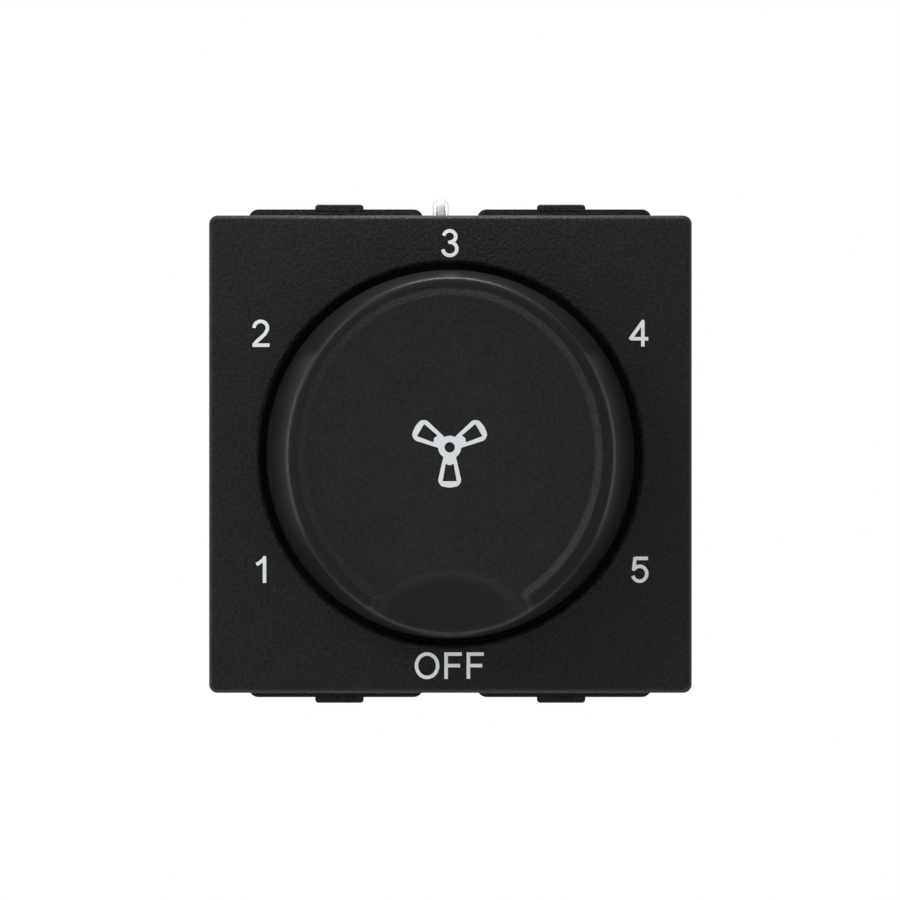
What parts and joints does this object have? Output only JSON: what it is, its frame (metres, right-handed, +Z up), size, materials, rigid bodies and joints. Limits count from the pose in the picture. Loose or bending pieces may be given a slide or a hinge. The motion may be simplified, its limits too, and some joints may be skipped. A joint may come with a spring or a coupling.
{
  "type": "fan speed control switch",
  "caption": "Flush modular fan speed switch: square dark plate with a raised round dial in a recessed well, thumb scoop pointer, snap tabs and ledges, and rear cage terminals.",
  "frame": {"origin": "dial axis in the plane where the ledges bear on the back of the frame's bar", "axes": "+X to the right, +Z up, -Y out of the front plate towards the user"},
  "size_m": [0.045, 0.0435, 0.047],
  "materials": {
    "plate_plastic": "fine spark-eroded matte",
    "knob_plastic": "fine spark-eroded matte",
    "housing_plastic": "plain moulded",
    "pin_steel": "polished plated steel",
    "spring_steel": "bright rolled strip",
    "spindle_brass": "turned",
    "wheel_plastic": "natural acetal",
    "contact_brass": "stamped",
    "case_plastic": "moulded phenolic",
    "wafer_laminate": "phenolic laminate",
    "board_laminate": "paper laminate",
    "capacitor_resin": "potted box",
    "resistor_enamel": "enamel",
    "block_plastic": "moulded",
    "busbar_brass": "stamped",
    "screw_steel": "zinc plated",
    "cage_steel": "zinc plated"
  },
  "bodies": {
    "housing": {"rear_housing": "housing_plastic", "front_plate": "plate_plastic", "locating_pin": "pin_steel", "switch_case": "case_plastic", "detent_spring": "spring_steel", "switch_wafer": "wafer_laminate", "common_contact": "contact_brass", "circuit_board": "board_laminate", "capacitor_large": "capacitor_resin", "capacitor_small": "capacitor_resin", "bleed_resistor_left": "resistor_enamel", "bleed_resistor_right": "resistor_enamel", "terminal_block": "block_plastic", "line_busbar": "busbar_brass", "load_busbar": "busbar_brass", "board_screw_1": "screw_steel", "board_screw_2": "screw_steel", "speed_contact_1": "contact_brass", "speed_contact_2": "contact_brass", "speed_contact_3": "contact_brass", "speed_contact_4": "contact_brass", "speed_contact_5": "contact_brass"},
    "dial": {"knob": "knob_plastic", "knob_grip_spring": "spring_steel", "spindle": "spindle_brass", "detent_wheel": "wheel_plastic", "contact_bridge": "contact_brass", "retaining_ring": "spring_steel"},
    "line_clamp_screw": {"line_screw": "screw_steel"},
    "line_clamp_cage": {"line_cage": "cage_steel"},
    "load_clamp_screw": {"load_screw": "screw_steel"},
    "load_clamp_cage": {"load_cage": "cage_steel"}
  },
  "joints": [
    {"name": "knob_turn", "type": "hinge", "parent": "housing", "child": "dial", "pos_m": [0, 0, 0], "axis": [0, 1, 0], "range_deg": [0, 300], "deforming": ["detent_spring"]},
    {"name": "line_screw_turn", "type": "hinge", "parent": "housing", "child": "line_clamp_screw", "pos_m": [-0.005, 0.014, -0.0176], "axis": [0, 0, 1], "range_deg": [0, 1296]},
    {"name": "line_cage_slide", "type": "slide", "parent": "housing", "child": "line_clamp_cage", "axis": [0, 0, -1], "range_m": [0, 0.0018]},
    {"name": "load_screw_turn", "type": "hinge", "parent": "housing", "child": "load_clamp_screw", "pos_m": [0.005, 0.014, -0.0176], "axis": [0, 0, 1], "range_deg": [0, 1296]},
    {"name": "load_cage_slide", "type": "slide", "parent": "housing", "child": "load_clamp_cage", "axis": [0, 0, -1], "range_m": [0, 0.0018]}
  ],
  "couplings": [
    {"joint": "line_screw_turn", "follows": "line_cage_slide", "rad_per_m": 12566},
    {"joint": "load_screw_turn", "follows": "load_cage_slide", "rad_per_m": 12566}
  ]
}
